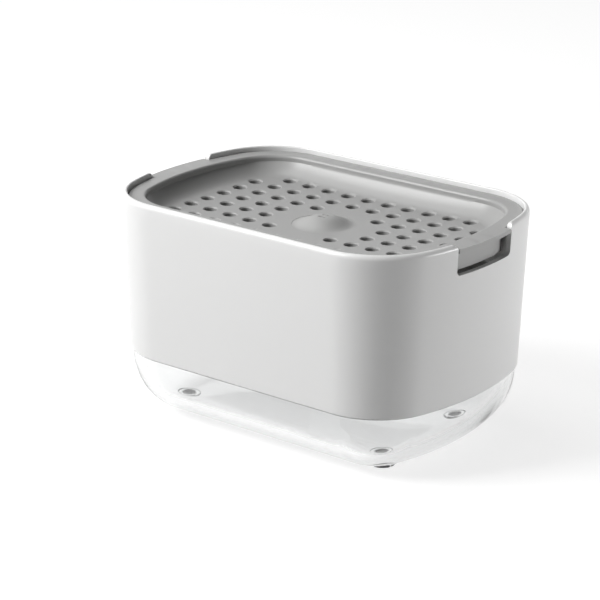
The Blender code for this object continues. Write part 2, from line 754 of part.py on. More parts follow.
def make_spring(parts, material):
    """Return spring between the cylinder's ledge and the plug's flange."""
    bottom = BARREL_LEDGE + SEAT_GAP + SPRING_WIRE_RADIUS
    top = PLUG_FLANGE_BOTTOM - SEAT_GAP - SPRING_WIRE_RADIUS
    radius = SPRING_DIAMETER / 2
    count = int(SPRING_TURNS * SPRING_POINTS_PER_TURN)
    curve = bpy.data.curves.new("return_spring", "CURVE")
    curve.dimensions = "3D"
    curve.bevel_depth = SPRING_WIRE_RADIUS
    curve.bevel_resolution = SPRING_BEVEL_RESOLUTION
    curve.use_fill_caps = True
    spline = curve.splines.new("POLY")
    spline.points.add(count)
    for step, point in enumerate(spline.points):
        angle = 2 * math.pi * step / SPRING_POINTS_PER_TURN
        height = bottom + (top - bottom) * step / count
        point.co = (radius * math.cos(angle), radius * math.sin(angle), height, 1)
    coil = bpy.data.objects.new("coil_guide", curve)
    parts.objects.link(coil)
    graph = bpy.context.evaluated_depsgraph_get()
    mesh = bpy.data.meshes.new_from_object(coil.evaluated_get(graph))
    bm = bmesh.new()
    bm.from_mesh(mesh)
    bmesh.ops.remove_doubles(bm, verts=bm.verts, dist=MERGE_DISTANCE)
    bm.to_mesh(mesh)
    bm.free()
    bpy.data.objects.remove(coil)
    mesh.name = "return_spring"
    mesh.materials.clear()
    mesh.shade_smooth()
    return add_object("return_spring", mesh, parts, material)


def make_inlet_ball(parts, material):
    """Steel ball that rests on the cone over the throat."""
    bm = bmesh.new()
    radius = BALL_DIAMETER / 2
    bmesh.ops.create_uvsphere(bm, u_segments=BALL_SEGMENTS, v_segments=BALL_RINGS, radius=radius)
    mesh = bpy.data.meshes.new("inlet_ball")
    bm.to_mesh(mesh)
    bm.free()
    mesh.shade_smooth()
    ball = add_object("inlet_ball", mesh, parts, material)
    ball.location = (0, 0, BALL_CENTRE)
    return ball


def make_dip_tube(parts, material):
    """Short tube from the tail socket to just above the floor of the tank."""
    outer = DIP_TUBE_DIAMETER / 2
    inner = DIP_TUBE_BORE / 2
    profile = [(outer, DIP_TUBE_TOP), (outer, DIP_TUBE_BOTTOM)]
    profile += [(inner, DIP_TUBE_BOTTOM), (inner, DIP_TUBE_TOP)]
    return add_turned("dip_tube", profile, parts, material)


def bowl_side(inset, height, width, drop):
    """Section of the dish's side, steep at its upper end and level where it meets the floor."""
    points = []
    for step in range(BOWL_STEPS + 1):
        share = step / BOWL_STEPS
        points.append((inset + width * share, height - drop * (1 - (1 - share) ** DISH_BOWL_POWER)))
    return points


def hole_places(floor_inset):
    """Grid of drain holes: all whose middles lie on the flat floor, clear of the outlet."""
    columns = math.ceil(HALF_LENGTH / HOLE_PITCH)
    rows = math.ceil(HALF_WIDTH / HOLE_PITCH)
    places = []
    for column in range(-columns, columns):
        for row in range(-rows, rows):
            x = (column + 1 / 2) * HOLE_PITCH
            y = (row + 1 / 2) * HOLE_PITCH
            if edge_distance(x, y) >= floor_inset and math.hypot(x, y) > DOME_CLEAR_RADIUS:
                places.append((x, y))
    return places


def make_plate(parts, cutters, material):
    """Press plate: flat rim, dished floor with drain holes, a tab at each end and the stem's socket."""
    wall_inset = FLANGE_INSET + FLANGE_WIDTH + FLANGE_ROUND
    under_inset = wall_inset - PLATE_THICKNESS
    bowl_top = DISH_FLOOR + DISH_BOWL_HEIGHT
    floor_inset = wall_inset + DISH_BOWL_WIDTH
    upper = [(FLANGE_INSET, FLANGE_TOP)]
    for step in range(ROUND_STEPS + 1):
        angle = math.pi / 2 * step / ROUND_STEPS
        inset = FLANGE_INSET + FLANGE_WIDTH + FLANGE_ROUND * math.sin(angle)
        upper.append((inset, FLANGE_TOP - FLANGE_ROUND * (1 - math.cos(angle))))
    upper += bowl_side(wall_inset, bowl_top, DISH_BOWL_WIDTH, DISH_BOWL_HEIGHT)
    lower = bowl_side(
        under_inset, bowl_top, DISH_BOWL_WIDTH + PLATE_THICKNESS, DISH_BOWL_HEIGHT + PLATE_THICKNESS
    )
    lower = lower[::-1]
    lower += [(under_inset, FLANGE_UNDERSIDE), (FLANGE_INSET, FLANGE_UNDERSIDE)]
    plate = add_loft("press_plate", lower + upper, parts, material)

    combine(plate, make_tabs(cutters), "UNION")
    rib_bottom = PLATE_UNDERSIDE - RIB_HEIGHT
    rib_height = RIB_HEIGHT + PLATE_THICKNESS / 2
    rib_z = rib_bottom + rib_height / 2
    rib_reach = floor_inset - PLATE_THICKNESS
    long_rib = (OVERALL_LENGTH - 2 * rib_reach - END_BOW, RIB_THICKNESS, rib_height)
    cross_rib = (RIB_THICKNESS, OVERALL_WIDTH - 2 * rib_reach, rib_height)
    for side in (-1, 1):
        y = side * LONG_RIB_PITCHES * HOLE_PITCH
        combine(plate, add_block("long_rib_%d" % side, long_rib, (0, y, rib_z), cutters), "UNION")
        x = side * CROSS_RIB_PITCHES * HOLE_PITCH
        combine(plate, add_block("cross_rib_%d" % side, cross_rib, (x, 0, rib_z), cutters), "UNION")

    socket_bore = STEM_DIAMETER + 2 * SEAT_GAP
    socket_outside = socket_bore + 2 * SOCKET_WALL
    middle = [(0, 0)]
    web_foot = STEM_TOP + SEAT_GAP
    boss_top = DISH_FLOOR - DOME_SEAT_DEPTH / 2
    boss = add_rods("socket_boss", socket_outside, SOCKET_MOUTH, boss_top, middle, FINE_SIDES, cutters)
    combine(plate, boss, "UNION")
    bore_foot = SOCKET_MOUTH - OVERRUN
    bore = add_rods("socket_bore", socket_bore, bore_foot, web_foot, middle, PLAIN_SIDES, cutters)
    combine(plate, bore, "DIFFERENCE")
    outlet_top = DISH_FLOOR + OVERRUN
    outlet = add_rods("outlet_bore", OUTLET_BORE, SOCKET_MOUTH, outlet_top, middle, PLAIN_SIDES, cutters)
    combine(plate, outlet, "DIFFERENCE")
    seat = add_rods(
        "dome_seat",
        DOME_DIAMETER + 2 * SEAT_GAP,
        DISH_FLOOR - DOME_SEAT_DEPTH,
        DISH_FLOOR + OVERRUN,
        middle,
        FINE_SIDES,
        cutters,
    )
    combine(plate, seat, "DIFFERENCE")
    holes = add_rods(
        "drain_holes",
        HOLE_DIAMETER,
        PLATE_UNDERSIDE - OVERRUN,
        DISH_FLOOR + OVERRUN,
        hole_places(floor_inset),
        HOLE_SIDES,
        cutters,
    )
    combine(plate, holes, "DIFFERENCE")
    settle(plate)
    return plate


def make_tabs(cutters):
    """Tab of each end: a lip through the notch and an apron inside it, with a raised panel."""
    apron_bottom = NOTCH_BOTTOM + TAB_APRON_HANG
    panel_inset = shell_inset(apron_bottom - PRESS_STROKE) + SHELL_WALL + SEAT_GAP
    apron_inset = panel_inset + TAB_PANEL_STEP
    apron_inner = apron_inset + TAB_APRON_THICKNESS
    section = [
        (apron_inset, apron_bottom),
        (apron_inset, TAB_UNDERSIDE),
        (0, TAB_UNDERSIDE),
        (0, FLANGE_TOP),
        (apron_inner + TAB_ROOT, FLANGE_TOP),
        (apron_inner + TAB_ROOT, FLANGE_UNDERSIDE),
        (apron_inner, FLANGE_UNDERSIDE),
        (apron_inner, apron_bottom),
    ]
    tabs = add_loft("end_tabs", section, cutters, ring=True)
    panel_bottom = apron_bottom + TAB_PANEL_LIFT
    panel_top = TAB_UNDERSIDE + TAB_LIP_THICKNESS / 2
    panel_inner = apron_inset + TAB_APRON_THICKNESS / 2
    section = [
        (panel_inset, panel_bottom),
        (panel_inset, panel_top),
        (panel_inner, panel_top),
        (panel_inner, panel_bottom),
    ]
    panels = add_loft("tab_panels", section, cutters, ring=True)
    length = OVERALL_LENGTH + OVERRUN
    height = panel_top - panel_bottom + TAB_PANEL_CORNER
    middle = panel_bottom + height / 2
    size = (length, TAB_PANEL_WIDTH, height)
    panel_keep = add_block("panel_width", size, (0, 0, middle), cutters, TAB_PANEL_CORNER)
    combine(panels, panel_keep, "INTERSECT")
    combine(tabs, panels, "UNION")
    size = (length, NOTCH_WIDTH - 2 * RUNNING_GAP, FLANGE_TOP - apron_bottom + 2 * OVERRUN)
    middle = (FLANGE_TOP + apron_bottom) / 2
    combine(tabs, add_block("tab_width", size, (0, 0, middle), cutters), "INTERSECT")
    return tabs


def bell_side(radius, foot, crown):
    """Profile of a low bell, from its crown out to its foot, level at both."""
    points = []
    for step in range(DOME_STEPS + 1):
        share = step / DOME_STEPS
        lift = (1 + math.cos(math.pi * share**DOME_BELL_POWER)) / 2
        points.append((radius * share, foot + (crown - foot) * lift))
    return points


def make_outlet_dome(parts, cutters, material):
    """Soft low dome over the stem's outlet, level with the floor at its edge, with two short slits."""
    radius = DOME_DIAMETER / 2
    foot = DISH_FLOOR - DOME_SEAT_DEPTH + SEAT_GAP
    crown = DISH_FLOOR + DOME_RISE
    profile = bell_side(radius, DISH_FLOOR, crown) + [(radius, foot)]
    profile += bell_side(radius - DOME_WALL, foot, crown - DOME_WALL)[::-1]
    dome = add_turned("outlet_dome", profile, parts, material, sides=FINE_SIDES, closed=False)
    slit_height = DOME_WALL + OVERRUN
    slit_size = (DOME_SLIT_LENGTH, DOME_SLIT_WIDTH, slit_height)
    for side in (-1, 1):
        place = (0, side * DOME_SLIT_SPACING / 2, crown)
        combine(dome, add_block("dome_slit_%d" % side, slit_size, place, cutters), "DIFFERENCE")
    settle(dome)
    return dome


def make_dispenser():
    clear_scene()
    parts = new_collection("soap_dispenser")
    cutters = new_collection("cutters")

    white = new_material("white_plastic", (0.83, 0.83, 0.82), 0.28)
    inner_white = new_material("natural_plastic", (0.74, 0.75, 0.74), 0.40)
    grey = new_material("grey_plastic", (0.43, 0.43, 0.42), 0.38)
    soft_grey = new_material("grey_silicone", (0.40, 0.40, 0.40), 0.50)
    clear = new_material("clear_plastic", (0.95, 0.96, 0.96), 0.05, transmission=1.0)
    rubber = new_material("dark_rubber", (0.05, 0.05, 0.05), 0.70)
    sealing = new_material("sealing_silicone", (0.68, 0.69, 0.69), 0.45)
    steel = new_material("stainless_steel", (0.60, 0.60, 0.60), 0.25, metallic=1.0)

    make_tank(parts, cutters, clear)
    make_foot_pads(parts, rubber)

    lifted = [
        make_shell(parts, cutters, white),
        make_deck(parts, cutters, grey),
        make_tank_gasket(parts, sealing),
        make_barrel(parts, inner_white),
        make_cylinder_gasket(parts, sealing),
        make_lock_ring(parts, white),
        make_stem_guide(parts, inner_white),
        make_spring(parts, steel),
        make_dip_tube(parts, inner_white),
    ]
    upper = add_datum("upper_datum", SEAM_HEIGHT, parts)
    carry(upper, lifted)

    ball = add_datum("inlet_ball_datum", BALL_CENTRE, parts)
    carry(ball, [make_inlet_ball(parts, steel)])

    plunger = add_datum("plunger_datum", STEM_COLLAR_TOP, parts)
    carry(plunger, [make_stem(parts, cutters, inner_white), make_stem_plug(parts, inner_white)])
    slip = add_datum("piston_datum", PISTON_BOTTOM, parts)
    carry(slip, [make_piston(parts, sealing)])

    plate = add_datum("plate_datum", FLANGE_TOP, parts)
    carry(plate, [make_plate(parts, cutters, grey), make_outlet_dome(parts, cutters, soft_grey)])
    carry(upper, [ball, plunger])
    carry(plunger, [slip, plate])


make_dispenser()
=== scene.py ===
import math

import bmesh
import bpy
from mathutils import Matrix, Vector


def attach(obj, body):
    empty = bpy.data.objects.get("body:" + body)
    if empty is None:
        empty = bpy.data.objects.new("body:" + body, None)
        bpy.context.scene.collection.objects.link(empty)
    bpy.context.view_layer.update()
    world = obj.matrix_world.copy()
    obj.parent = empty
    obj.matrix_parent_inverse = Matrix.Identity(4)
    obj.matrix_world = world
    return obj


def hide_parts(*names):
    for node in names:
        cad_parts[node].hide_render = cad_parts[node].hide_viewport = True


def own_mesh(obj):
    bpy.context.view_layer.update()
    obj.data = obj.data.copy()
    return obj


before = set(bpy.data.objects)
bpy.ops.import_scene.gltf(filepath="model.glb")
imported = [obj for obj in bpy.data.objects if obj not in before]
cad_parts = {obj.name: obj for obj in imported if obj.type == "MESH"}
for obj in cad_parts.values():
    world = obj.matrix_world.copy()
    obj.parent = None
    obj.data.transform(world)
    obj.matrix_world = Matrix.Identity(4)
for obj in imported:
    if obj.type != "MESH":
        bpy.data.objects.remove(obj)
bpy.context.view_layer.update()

# Camera
# It looks at the right-hand front corner from above the rim, on a long lens.
# The angles, the distance and the lens come from matching the rim, the holes and the seam of the photograph.
CAMERA_AZIMUTH = math.radians(38.502)
CAMERA_ELEVATION = math.radians(18.912)
CAMERA_ROLL = math.radians(0.424)
CAMERA_DISTANCE = 0.898543
CAMERA_TARGET = Vector((0, 0, 0.043))
CAMERA_SLIDE = (-0.008456, 0.002978)
PICTURE_WIDTH = 600
FOCAL_PIXELS = 2430.921
SENSOR_WIDTH = 36
CAMERA_NEAREST = 0.01
CAMERA_FARTHEST = 20

camera_back = Vector(
    (
        math.sin(CAMERA_AZIMUTH) * math.cos(CAMERA_ELEVATION),
        -math.cos(CAMERA_AZIMUTH) * math.cos(CAMERA_ELEVATION),
        math.sin(CAMERA_ELEVATION),
    )
)
level_right = Vector((math.cos(CAMERA_AZIMUTH), math.sin(CAMERA_AZIMUTH), 0))
level_up = camera_back.cross(level_right)
camera_right = level_right * math.cos(CAMERA_ROLL) + level_up * math.sin(CAMERA_ROLL)
camera_up = camera_back.cross(camera_right)
aim = CAMERA_TARGET + camera_right * CAMERA_SLIDE[0] + camera_up * CAMERA_SLIDE[1]
camera_data = bpy.data.cameras.new("studio_camera")
camera_data.sensor_width = SENSOR_WIDTH
camera_data.lens = SENSOR_WIDTH * FOCAL_PIXELS / PICTURE_WIDTH
camera_data.clip_start = CAMERA_NEAREST
camera_data.clip_end = CAMERA_FARTHEST
camera = bpy.data.objects.new("studio_camera", camera_data)
camera.matrix_world = Matrix.Translation(aim + camera_back * CAMERA_DISTANCE) @ Matrix(
    (camera_right, camera_up, camera_back)
).transposed().to_4x4()
bpy.context.scene.collection.objects.link(camera)
bpy.context.scene.camera = camera

# Table and studio light
# A white table top in a white room. Only gloss and clear plastic show the dark patch in its ceiling. A big
# soft lamp stands front left, a weak one over the left end, and a strip on the table lights the right end.
TABLE_SIZE = 6.0
TABLE_COLOUR = (0.44, 0.44, 0.44)
TABLE_GLOW = 0.78
ROOM_WHITE = 1.0
ROOM_DARK = 0.12
ROOM_AMBIENT = 0.06
ROOM_DARK_SIDE = Vector((0.38, 0.47, 0.80))
ROOM_DARK_FROM = 0.48
ROOM_DARK_FULL = 0.82
LAMP_DISTANCE = 1.2
LAMPS = {
    "front_lamp": dict(azimuth=-38, elevation=38, width=0.60, height=0.60, power=15.1),
    "left_lamp": dict(azimuth=-80, elevation=68, width=0.60, height=0.60, power=3.0),
    "strip_lamp": dict(azimuth=125, elevation=0, width=0.60, height=0.05, power=7.4),
}
bpy.context.scene.view_settings.view_transform = "Standard"


def seen_directly(tree):
    """One for the camera's rays and for what shows in gloss or through glass, else nought."""
    path = tree.nodes.new("ShaderNodeLightPath")
    glossy = tree.nodes.new("ShaderNodeMath")
    glossy.operation = "MAXIMUM"
    tree.links.new(path.outputs["Is Camera Ray"], glossy.inputs[0])
    tree.links.new(path.outputs["Is Glossy Ray"], glossy.inputs[1])
    clear = tree.nodes.new("ShaderNodeMath")
    clear.operation = "MAXIMUM"
    tree.links.new(glossy.outputs[0], clear.inputs[0])
    tree.links.new(path.outputs["Is Transmission Ray"], clear.inputs[1])
    return clear.outputs[0]


def studio_lamp(name, azimuth, elevation, width, height, power):
    """A soft lamp, turned towards the middle of the object. Azimuth 0 is in front of the long face."""
    lamp = bpy.data.lights.new(name, "AREA")
    lamp.shape = "RECTANGLE"
    lamp.size = width
    lamp.size_y = height
    lamp.energy = power
    turn = math.radians(azimuth)
    lift = math.radians(elevation)
    away = Vector((math.sin(turn) * math.cos(lift), -math.cos(turn) * math.cos(lift), math.sin(lift)))
    obj = bpy.data.objects.new(name, lamp)
    obj.location = CAMERA_TARGET + away * LAMP_DISTANCE
    obj.rotation_euler = away.to_track_quat("Z", "Y").to_euler()
    bpy.context.scene.collection.objects.link(obj)


for lamp_name, lamp_values in LAMPS.items():
    studio_lamp(lamp_name, **lamp_values)

world = bpy.data.worlds.new("white_room")
world.use_nodes = True
bpy.context.scene.world = world
background = world.node_tree.nodes["Background"]
background.inputs["Color"].default_value = (1, 1, 1, 1)
room_place = world.node_tree.nodes.new("ShaderNodeTexCoord")
room_side = world.node_tree.nodes.new("ShaderNodeVectorMath")
room_side.operation = "DOT_PRODUCT"
room_side.inputs[1].default_value = ROOM_DARK_SIDE.normalized()
world.node_tree.links.new(room_place.outputs["Object"], room_side.inputs[0])
room_shade = world.node_tree.nodes.new("ShaderNodeMapRange")
room_shade.interpolation_type = "SMOOTHSTEP"
room_shade.inputs["From Min"].default_value = ROOM_DARK_FROM
room_shade.inputs["From Max"].default_value = ROOM_DARK_FULL
room_shade.inputs["To Min"].default_value = ROOM_WHITE
room_shade.inputs["To Max"].default_value = ROOM_DARK
world.node_tree.links.new(room_side.outputs["Value"], room_shade.inputs["Value"])
room_path = world.node_tree.nodes.new("ShaderNodeLightPath")
room_behind = world.node_tree.nodes.new("ShaderNodeMath")
room_behind.operation = "MAXIMUM"
world.node_tree.links.new(room_path.outputs["Is Camera Ray"], room_behind.inputs[0])
world.node_tree.links.new(room_shade.outputs["Result"], room_behind.inputs[1])
room_level = world.node_tree.nodes.new("ShaderNodeMapRange")
room_level.inputs["To Min"].default_value = ROOM_AMBIENT
world.node_tree.links.new(seen_directly(world.node_tree), room_level.inputs["Value"])
world.node_tree.links.new(room_behind.outputs[0], room_level.inputs["To Max"])
world.node_tree.links.new(room_level.outputs["Result"], background.inputs["Strength"])

table_material = bpy.data.materials.new("pale_table")
table_material.use_nodes = True
table_tree = table_material.node_tree
table_tree.nodes.clear()
table_output = table_tree.nodes.new("ShaderNodeOutputMaterial")
table_paint = table_tree.nodes.new("ShaderNodeBsdfDiffuse")
table_paint.inputs["Color"].default_value = (*TABLE_COLOUR, 1)
table_level = table_tree.nodes.new("ShaderNodeMath")
table_level.operation = "MULTIPLY"
table_level.inputs[1].default_value = TABLE_GLOW
table_tree.links.new(seen_directly(table_tree), table_level.inputs[0])
table_glow = table_tree.nodes.new("ShaderNodeEmission")
table_tree.links.new(table_level.outputs[0], table_glow.inputs["Strength"])
table_sum = table_tree.nodes.new("ShaderNodeAddShader")
table_tree.links.new(table_paint.outputs[0], table_sum.inputs[0])
table_tree.links.new(table_glow.outputs[0], table_sum.inputs[1])
table_tree.links.new(table_sum.outputs[0], table_output.inputs["Surface"])

bm = bmesh.new()
bmesh.ops.create_grid(bm, x_segments=1, y_segments=1, size=TABLE_SIZE / 2)
table_mesh = bpy.data.meshes.new("table_top")
bm.to_mesh(table_mesh)
bm.free()
table_mesh.materials.append(table_material)
table = bpy.data.objects.new("table_top", table_mesh)
bpy.context.scene.collection.objects.link(table)

# Clear tank
# The base that holds the soap, moulded in one piece in clear polished plastic. It has a wide rounded
# bottom edge, a shoulder that the shell stands on, a straight neck inside the shell and four round bosses.
HALF_LENGTH = 0.0725
HALF_WIDTH = 0.050
CORNER_RADIUS = 0.028
END_BOW = 0.0123
END_RADIUS = (HALF_WIDTH**2 + END_BOW**2) / (2 * END_BOW)
END_CENTRE_X = HALF_LENGTH - END_RADIUS
SMALLEST_CORNER = 0.003
PLAN_CORNER_STEPS = 26
PLAN_END_STEPS = 14
PLAN_SIDE_STEPS = 18

SEAM_HEIGHT = 0.0258
TANK_INSET = 0.0032
TANK_SHOULDER = 0.0255
TANK_MOUTH = 0.0496
TANK_NECK_OUTER = 0.0048
TANK_NECK_INNER = 0.0068
TANK_UNDERSIDE = 0.0014
TANK_FLOOR = 0.0044
TANK_ROUND_WIDTH = 0.0200
TANK_ROUND_TOP = 0.0249
TANK_INNER_ROUND_WIDTH = 0.0188
TANK_ROUND_STEPS = 24
TANK_COLOUR = (0.985, 0.99, 0.99)
TANK_ROUGHNESS = 0.02
TANK_IOR = 1.49
TANK_TINT_DENSITY = 12.0
FOOT_PLACES = [(-0.0457, -0.0232), (0.0457, -0.0232), (0.0457, 0.0232), (-0.0457, 0.0232)]
FOOT_BOSS_RADIUS = 0.0047
FOOT_BOSS_BOTTOM = 0.0006
FOOT_BOSS_TOP = 0.0029
FOOT_BOSS_ROUND = 0.0004
FOOT_RECESS_RADIUS = 0.0031
FOOT_RECESS_TOP = 0.0022
ROUND_SIDES = 64
ROUND_MIDDLE_SHARE = 0.3
SMOOTH_ANGLE = math.radians(35)


def plan_outline(inset):
    """Points round the plan shape, drawn in by inset: straight long sides, bowed ends, round corners."""
    half_width = HALF_WIDTH - inset
    end_radius = END_RADIUS - inset
    radius = max(CORNER_RADIUS - inset, SMALLEST_CORNER)
    corner_y = half_width - radius
    reach = end_radius - radius
    corner_x = END_CENTRE_X + math.sqrt(reach**2 - corner_y**2)
    tilt = math.asin(corner_y / reach)
    quarter = []
    for step in range(PLAN_END_STEPS):
        angle = tilt * step / PLAN_END_STEPS
        quarter.append((END_CENTRE_X + end_radius * math.cos(angle), end_radius * math.sin(angle)))
    for step in range(PLAN_CORNER_STEPS):
        angle = tilt + (math.pi / 2 - tilt) * step / PLAN_CORNER_STEPS
        quarter.append((corner_x + radius * math.cos(angle), corner_y + radius * math.sin(angle)))
    for step in range(PLAN_SIDE_STEPS):
        quarter.append((corner_x * (1 - step / PLAN_SIDE_STEPS), half_width))
    half = quarter + [(0, half_width)] + [(-x, y) for x, y in reversed(quarter)]
    return half + [(x, -y) for x, y in reversed(half[1:-1])]


def finished_mesh(bm, name):
    """The mesh of a bmesh that isn't needed any more, with its faces turned outwards."""
    bmesh.ops.recalc_face_normals(bm, faces=bm.faces)
    mesh = bpy.data.meshes.new(name)
    bm.to_mesh(mesh)
    bm.free()
    return mesh


def follow_plan(name, section, closed_section=False):
    """A closed mesh that carries a section of (inset, height) round the plan outline."""
    bm = bmesh.new()
    loops = [[bm.verts.new((x, y, height)) for x, y in plan_outline(inset)] for inset, height in section]
    pairs = list(zip(loops, loops[1:]))
    if closed_section:
        pairs.append((loops[-1], loops[0]))
    else:
        bm.faces.new(loops[0])
        bm.faces.new(loops[-1])
    for lower, upper in pairs:
        for i in range(len(lower)):
            j = (i + 1) % len(lower)
            bm.faces.new((lower[i], lower[j], upper[j], upper[i]))
    return finished_mesh(bm, name)


def round_bend(inset, height, width, drop, steps):
    """Points of an elliptical bend, as (inset, height), from its upright end to its level end."""
    points = []
    for step in range(steps + 1):
        angle = math.pi / 2 * step / steps
        points.append((inset + width * (1 - math.cos(angle)), height - drop * math.sin(angle)))
    return points


def disc_profile(radius, bottom, top):
    """Profile of a plain upright disc, as (radius, height)."""
    return [(0, top), (radius, top), (radius, bottom), (0, bottom)]


def soft_disc_profile(radius, bottom, top, edge):
    """Profile of an upright disc whose lower edge is rounded, as (radius, height)."""
    middle = edge * ROUND_MIDDLE_SHARE
    return [
        (0, top),
        (radius, top),
        (radius, bottom + edge),
        (radius - middle, bottom + middle),
        (radius - edge, bottom),
        (0, bottom),
    ]


def turned(name, profile, sides=ROUND_SIDES, places=((0, 0),)):
    """A mesh turned round the upright axis from a profile that starts and ends on it, at each place."""
    bm = bmesh.new()
    for place_x, place_y in places:
        loops = []
        for radius, height in profile:
            if radius == 0:
                loops.append([bm.verts.new((place_x, place_y, height))])
                continue
            ring = []
            for side in range(sides):
                angle = 2 * math.pi * side / sides
                ring.append(
                    bm.verts.new(
                        (place_x + radius * math.cos(angle), place_y + radius * math.sin(angle), height)
                    )
                )
            loops.append(ring)
        for first, second in zip(loops, loops[1:]):
            for side in range(sides):
                after = (side + 1) % sides
                corners = [first[side % len(first)], first[after % len(first)]]
                corners += [second[after % len(second)], second[side % len(second)]]
                corners = list(dict.fromkeys(corners))
                bm.faces.new(corners)
    return finished_mesh(bm, name)


def cut_and_join(mesh, steps):
    """Applies a row of (operation, mesh) to a mesh and returns the result as a plain mesh."""
    piece = bpy.data.objects.new("blank", mesh)
    bpy.context.scene.collection.objects.link(piece)
    tools = []
    for operation, tool_mesh in steps:
        tool = bpy.data.objects.new("tool", tool_mesh)
        bpy.context.scene.collection.objects.link(tool)
        tools.append(tool)
        modifier = piece.modifiers.new("cut", "BOOLEAN")
        modifier.operation = operation
        modifier.solver = "EXACT"
        modifier.object = tool
    graph = bpy.context.evaluated_depsgraph_get()
    result = bpy.data.meshes.new_from_object(piece.evaluated_get(graph))
    for obj in [piece] + tools:
        bpy.data.objects.remove(obj)
    return result


def show(name, mesh, material):
    """Puts a finished mesh in the scene, at the origin, shaded smooth but for its real edges."""
    mesh.name = name
    mesh.materials.clear()
    mesh.materials.append(material)
    mesh.shade_smooth()
    mesh.set_sharp_from_angle(angle=SMOOTH_ANGLE)
    obj = bpy.data.objects.new(name, mesh)
    bpy.context.scene.collection.objects.link(obj)
    return obj


clear_plastic = bpy.data.materials.new("clear_plastic")
clear_plastic.use_nodes = True
clear_shader = clear_plastic.node_tree.nodes["Principled BSDF"]
clear_shader.inputs["Base Color"].default_value = (*TANK_COLOUR, 1)
clear_shader.inputs["Roughness"].default_value = TANK_ROUGHNESS
clear_shader.inputs["IOR"].default_value = TANK_IOR
clear_shader.inputs["Transmission Weight"].default_value = 1.0
tint = clear_plastic.node_tree.nodes.new("ShaderNodeVolumeAbsorption")
tint.inputs["Color"].default_value = (0, 0, 0, 1)
tint.inputs["Density"].default_value = TANK_TINT_DENSITY
clear_output = clear_plastic.node_tree.nodes["Material Output"]
clear_plastic.node_tree.links.new(tint.outputs["Volume"], clear_output.inputs["Volume"])

tank_section = round_bend(
    TANK_INSET, TANK_ROUND_TOP, TANK_ROUND_WIDTH, TANK_ROUND_TOP - TANK_UNDERSIDE, TANK_ROUND_STEPS
)[::-1]
tank_section += [(TANK_INSET, TANK_SHOULDER), (TANK_NECK_OUTER, TANK_SHOULDER)]
tank_section += [(TANK_NECK_OUTER, TANK_MOUTH), (TANK_NECK_INNER, TANK_MOUTH)]
tank_section += round_bend(
    TANK_NECK_INNER, TANK_ROUND_TOP, TANK_INNER_ROUND_WIDTH, TANK_ROUND_TOP - TANK_FLOOR, TANK_ROUND_STEPS
)
boss_profile = soft_disc_profile(FOOT_BOSS_RADIUS, FOOT_BOSS_BOTTOM, FOOT_BOSS_TOP, FOOT_BOSS_ROUND)
recess_profile = disc_profile(FOOT_RECESS_RADIUS, 0, FOOT_RECESS_TOP)
tank_mesh = cut_and_join(
    follow_plan("clear_tank", tank_section),
    [
        ("UNION", turned("bosses", boss_profile, places=FOOT_PLACES)),
        ("DIFFERENCE", turned("recesses", recess_profile, places=FOOT_PLACES)),
    ],
)
clear_tank = show("clear_tank", tank_mesh, clear_plastic)
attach(clear_tank, "base")
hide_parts("tank")

# Foot pads
# Four dark rubber discs with a soft lower edge, each pressed into a boss under the tank.
PAD_RADIUS = 0.0028
PAD_HEIGHT = 0.0019
PAD_ROUND = 0.0004
PAD_SIDES = 40
RUBBER_COLOUR = (0.030, 0.030, 0.031)
RUBBER_ROUGHNESS = 0.62
RUBBER_GRAIN = 0.10
RUBBER_GRAIN_SIZE = 0.0004
GRAIN_DETAIL = 3
GRAIN_FLATNESS = 40


def plain_finish(name, colour, roughness, grain, grain_size, metallic=0.0):
    """A moulded or drawn surface: one colour, with a fine grain in its gloss and its relief."""
    material = bpy.data.materials.new(name)
    material.use_nodes = True
    tree = material.node_tree
    shader = tree.nodes["Principled BSDF"]
    shader.inputs["Base Color"].default_value = (*colour, 1)
    shader.inputs["Metallic"].default_value = metallic
    place = tree.nodes.new("ShaderNodeTexCoord")
    noise = tree.nodes.new("ShaderNodeTexNoise")
    noise.inputs["Scale"].default_value = 1 / grain_size
    noise.inputs["Detail"].default_value = GRAIN_DETAIL
    tree.links.new(place.outputs["Object"], noise.inputs["Vector"])
    level = tree.nodes.new("ShaderNodeMapRange")
    level.inputs["To Min"].default_value = roughness - grain
    level.inputs["To Max"].default_value = roughness + grain
    tree.links.new(noise.outputs["Fac"], level.inputs["Value"])
    tree.links.new(level.outputs["Result"], shader.inputs["Roughness"])
    bump = tree.nodes.new("ShaderNodeBump")
    bump.inputs["Strength"].default_value = grain
    bump.inputs["Distance"].default_value = grain_size / GRAIN_FLATNESS
    tree.links.new(noise.outputs["Fac"], bump.inputs["Height"])
    tree.links.new(bump.outputs["Normal"], shader.inputs["Normal"])
    return material


rubber = plain_finish("dark_rubber", RUBBER_COLOUR, RUBBER_ROUGHNESS, RUBBER_GRAIN, RUBBER_GRAIN_SIZE)
pad_profile = soft_disc_profile(PAD_RADIUS, 0, PAD_HEIGHT, PAD_ROUND)
for pad_number, pad_place in enumerate(FOOT_PLACES, start=1):
    pad_name = "rubber_pad_%d" % pad_number
    pad_mesh = turned(pad_name, pad_profile, sides=PAD_SIDES, places=[pad_place])
    pad = show(pad_name, pad_mesh, rubber)
    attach(pad, "base")
    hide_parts("foot_pad_%d" % pad_number)

